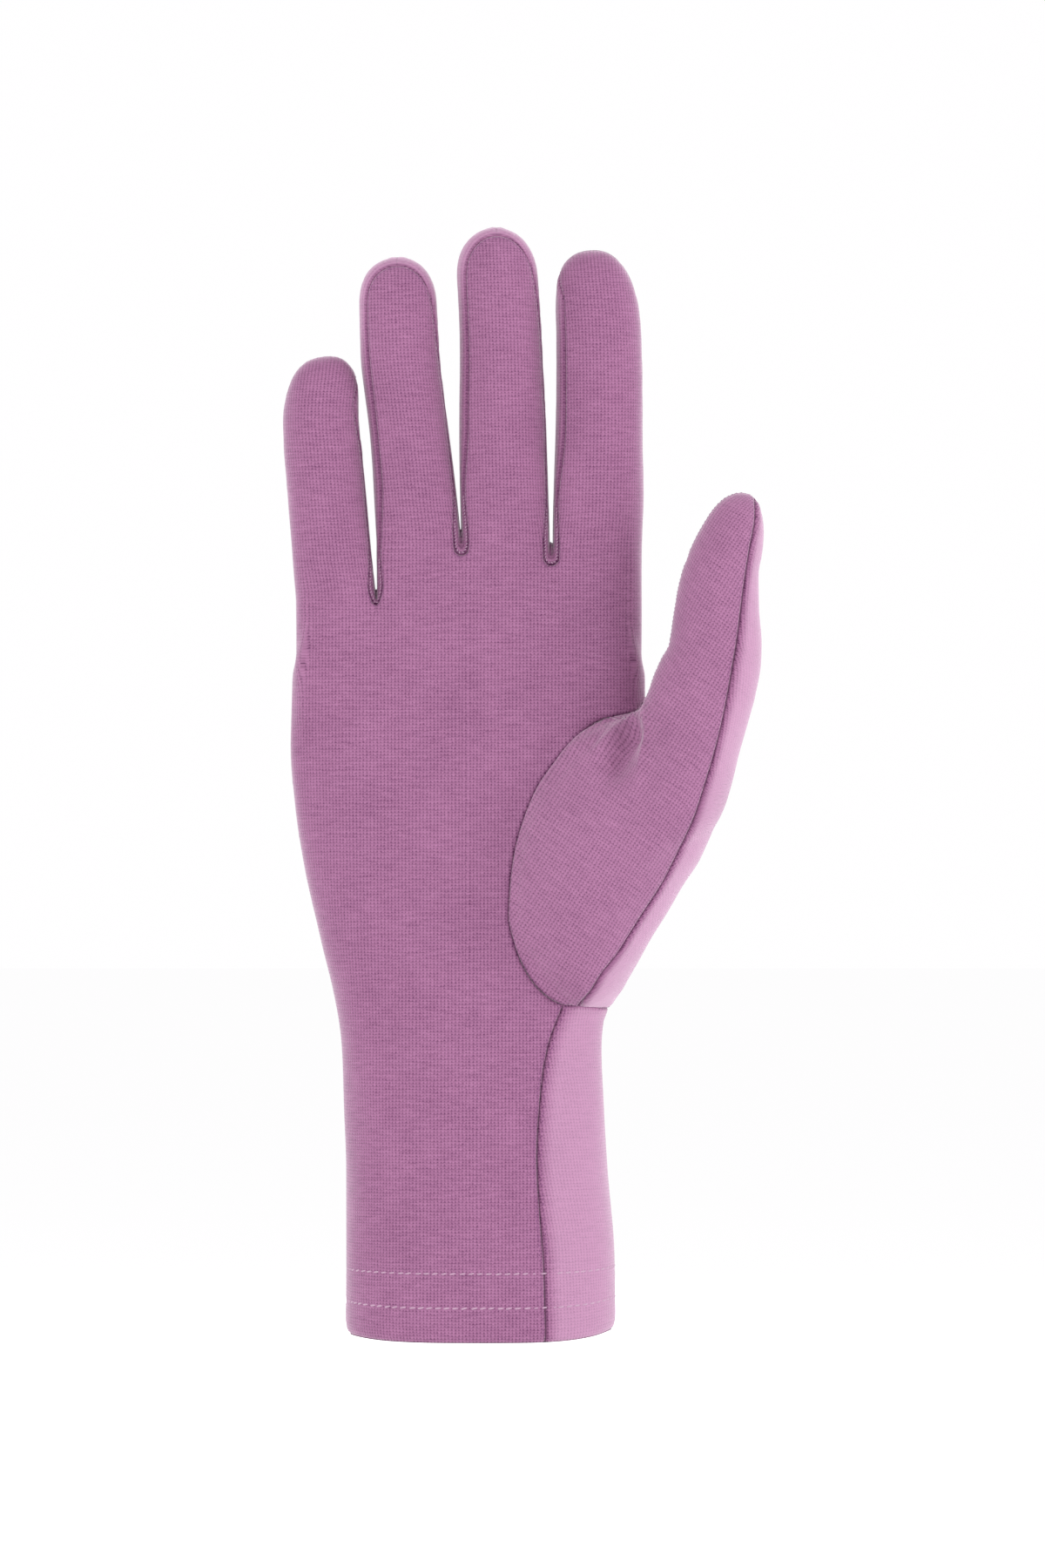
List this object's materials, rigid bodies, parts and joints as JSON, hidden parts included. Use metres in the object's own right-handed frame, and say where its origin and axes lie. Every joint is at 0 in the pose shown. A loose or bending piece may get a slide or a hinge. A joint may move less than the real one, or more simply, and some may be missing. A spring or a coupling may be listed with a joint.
{
  "type": "glove liner",
  "caption": "Fine knitted glove liner for a right hand, with separate fingers, a set-in thumb with an oval gusset and a long cuff with a stitched hem.",
  "frame": {"origin": "middle of the open mouth of the cuff, where the hand goes in", "axes": "+Z from the cuff towards the fingertips, -Y out of the palm side, +X towards the thumb"},
  "size_m": [0.1076, 0.0505, 0.2494],
  "materials": {
    "knit": "fine wool jersey, matt with a soft nap"
  },
  "bodies": {
    "root": {"palm_panel": "knit", "back_panel": "knit", "thumb": "knit", "fourchette_little_ring": "knit", "fourchette_ring_middle": "knit", "fourchette_middle_index": "knit"}
  },
  "joints": []
}
